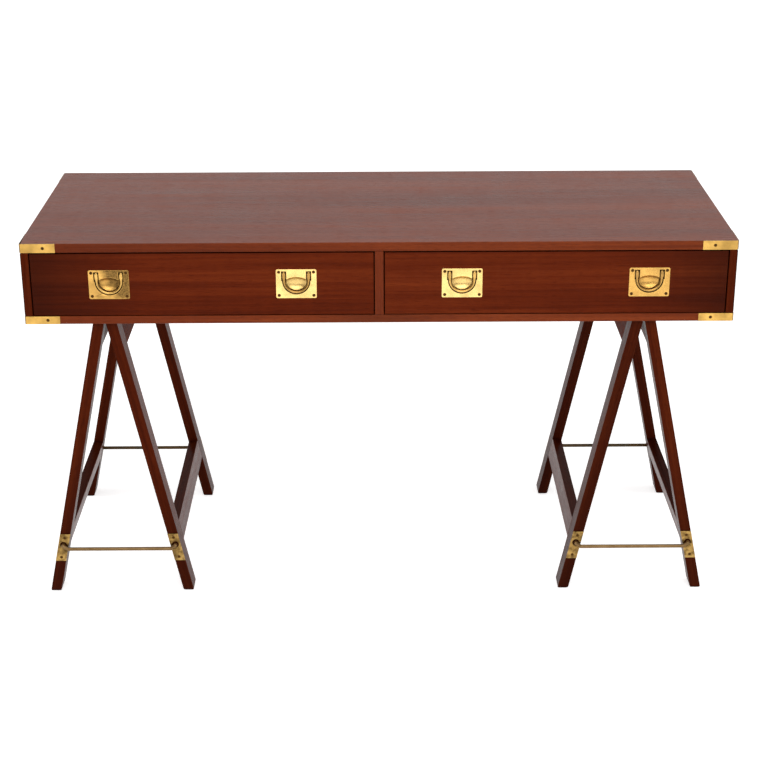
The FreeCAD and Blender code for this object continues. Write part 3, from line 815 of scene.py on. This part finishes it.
def pale_floor(square):
    """A floor that keeps the object's shadow and glows white to the camera."""
    material, tree, output = new_material("pale_floor")
    diffuse = add(tree, "BsdfDiffuse", {"Color": FLOOR_COLOUR}).outputs["BSDF"]
    place = add(tree, "TexCoord").outputs["Object"]
    reach = add(tree, "VectorMath", {0: place}, operation="LENGTH").outputs["Value"]
    brightness = spread(tree, reach, FLOOR_NEAR, FLOOR_FAR, GLOW_NEAR, GLOW_FAR)
    strength = calculate(tree, "MULTIPLY", seen_directly(tree), brightness)
    glow = add(tree, "Emission", {"Color": WHITE, "Strength": strength}).outputs["Emission"]
    both = add(tree, "AddShader", {0: diffuse, 1: glow}).outputs["Shader"]
    tree.links.new(both, output.inputs["Surface"])
    stage_sheet("floor", [(x * FLOOR_HALF, y * FLOOR_HALF, -FLOOR_DROP) for x, y in square], material)


def dark_cards(square):
    """Dark cards out of view, which only show mirrored in the object."""
    material, tree, output = new_material("dark_card")
    diffuse = add(tree, "BsdfDiffuse", {"Color": CARD_COLOUR}).outputs["BSDF"]
    tree.links.new(diffuse, output.inputs["Surface"])
    heights = {-1: CARD_LOW, 1: CARD_HIGH}
    depths = {-1: CARD_FRONT, 1: CARD_NEAR}
    cards = {"dark_card": [(x * CARD_HALF, CARD_FRONT, heights[y]) for x, y in square]}
    for side, outward in (("left", -1), ("right", 1)):
        cards[f"{side}_card"] = [(outward * CARD_SIDE, depths[x], heights[y]) for x, y in square]
    for name, corners in cards.items():
        card = stage_sheet(name, corners, material)
        card.visible_camera = False
        card.visible_diffuse = False
        card.visible_shadow = False


def white_surround():
    """A surround that looks white and lights the object less than it shows."""
    world = bpy.data.worlds.new("surround")
    bpy.context.scene.world = world
    world.use_nodes = True
    tree = world.node_tree
    tree.nodes.clear()
    output = add(tree, "OutputWorld")
    strength = spread(tree, seen_directly(tree), 0.0, 1.0, AMBIENT, 1.0)
    light = add(tree, "Background", {"Color": WHITE, "Strength": strength}).outputs["Background"]
    tree.links.new(light, output.inputs["Surface"])


def soft_lamps():
    """Round area lamps aimed at the object."""
    for name, place, size, power, mirrored in LAMPS:
        lamp = bpy.data.lights.new(name, "AREA")
        lamp.shape = "DISK"
        lamp.size = size
        lamp.energy = power
        holder = bpy.data.objects.new(name, lamp)
        holder.location = place
        holder.rotation_mode = "QUATERNION"
        holder.rotation_quaternion = (AIM - place).to_track_quat("-Z", "Y")
        holder.visible_camera = False
        holder.visible_glossy = mirrored
        bpy.context.scene.collection.objects.link(holder)


def studio():
    """The floor, the cards, the surround and the lamps."""
    square = ((-1, -1), (1, -1), (1, 1), (-1, 1))
    pale_floor(square)
    dark_cards(square)
    white_surround()
    soft_lamps()


def camera():
    """The photograph's camera."""
    yaw, pitch, roll = (math.radians(angle) for angle in (CAMERA_YAW, CAMERA_PITCH, CAMERA_ROLL))
    forward = Vector((math.sin(yaw) * math.cos(pitch), math.cos(yaw) * math.cos(pitch), math.sin(pitch)))
    level = Vector((math.cos(yaw), -math.sin(yaw), 0))
    above = level.cross(forward)
    right = math.cos(roll) * level + math.sin(roll) * above
    up = -math.sin(roll) * level + math.cos(roll) * above
    lens = bpy.data.cameras.new("view")
    lens.sensor_width = SENSOR_WIDTH
    lens.lens = FOCAL_PIXELS * SENSOR_WIDTH / IMAGE_SIZE
    holder = bpy.data.objects.new("view", lens)
    facing = Matrix((right, up, -forward)).transposed().to_4x4()
    holder.matrix_world = Matrix.Translation(CAMERA_PLACE) @ facing
    bpy.context.scene.collection.objects.link(holder)
    bpy.context.scene.camera = holder


dress_wood()
dress_brass()
studio()
camera()
bpy.context.scene.view_settings.view_transform = "Standard"
